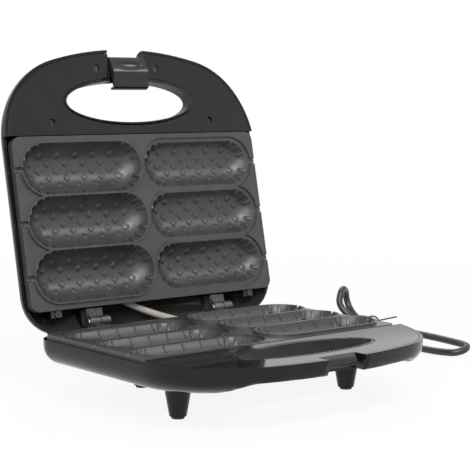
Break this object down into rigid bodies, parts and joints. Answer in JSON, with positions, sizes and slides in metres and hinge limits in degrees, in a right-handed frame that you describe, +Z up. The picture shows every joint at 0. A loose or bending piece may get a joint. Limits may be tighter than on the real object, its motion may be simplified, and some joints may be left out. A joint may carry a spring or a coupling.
{
  "type": "corn dog maker",
  "caption": "Hinged table-top electric baker with non-stick pill-shaped moulds, stick channels, loop handles with a swinging latch, round feet and a tied power cord.",
  "frame": {"origin": "middle of the open baker, without its cord, on the table under the rubber feet", "axes": "+X to the right seen from the handles, +Y to the back where the hinge is, +Z up"},
  "size_m": [0.3985, 0.3317, 0.2621],
  "materials": {
    "black_gloss": "glossy black moulded plastic",
    "black_satin": "satin black moulded plastic",
    "non_stick": "cast aluminium with a dark non-stick coating",
    "steel": "zinc plated steel",
    "dark_steel": "blackened steel",
    "bright_sheet": "bright aluminium sheet",
    "element_steel": "heat-tinted steel tube",
    "ceramic_tan": "unglazed ceramic",
    "cream_plastic": "heat resistant moulding",
    "sleeve": "woven glass sleeve",
    "rubber": "soft rubber",
    "cord_black": "flexible cord jacket",
    "plug_black": "moulded plug",
    "brass_pin": "nickel plated brass",
    "lens_red": "clear red lens",
    "lens_green": "clear green lens",
    "lamp": "neon lamp glass",
    "tie_wire": "coated wire"
  },
  "bodies": {
    "base": {"base_shell": "black_gloss", "base_panel": "black_gloss", "base_panel_screws": "steel", "foot_pads": "rubber", "lower_plate": "non_stick", "lower_plate_screws": "steel", "lower_element": "element_steel", "lower_reflector": "bright_sheet", "lower_push_nuts": "steel", "thermostat": "ceramic_tan", "terminal_block": "cream_plastic", "base_hinges": "dark_steel", "base_hinge_screws": "steel", "hinge_pins": "steel", "wire_sleeve": "sleeve", "cord_gland": "rubber", "cord_lead": "cord_black", "cord_hank": "cord_black", "cord_tail": "cord_black", "cord_tie": "tie_wire", "plug_body": "plug_black", "plug_pins": "brass_pin"},
    "lid": {"lid_shell": "black_gloss", "lid_panel": "black_gloss", "lid_panel_screws": "dark_steel", "upper_plate": "non_stick", "upper_plate_screws": "steel", "upper_element": "element_steel", "upper_reflector": "bright_sheet", "upper_push_nuts": "steel", "thermal_fuse": "brass_pin", "lid_hinges": "dark_steel", "lid_hinge_screws": "steel", "neon_lamps": "lamp", "power_lens": "lens_red", "ready_lens": "lens_green", "latch_pin": "steel"},
    "latch": {"latch": "black_satin"}
  },
  "joints": [
    {"name": "lid_hinge", "type": "hinge", "parent": "base", "child": "lid", "pos_m": [0, 0.07765, 0.0507], "axis": [1, 0, 0], "range_deg": [0, 101.9], "deforming": ["wire_sleeve"]},
    {"name": "latch_pivot", "type": "hinge", "parent": "lid", "child": "latch", "pos_m": [0, 0.1311, 0.25293], "axis": [-1, 0, 0], "range_deg": [0, 85]}
  ]
}
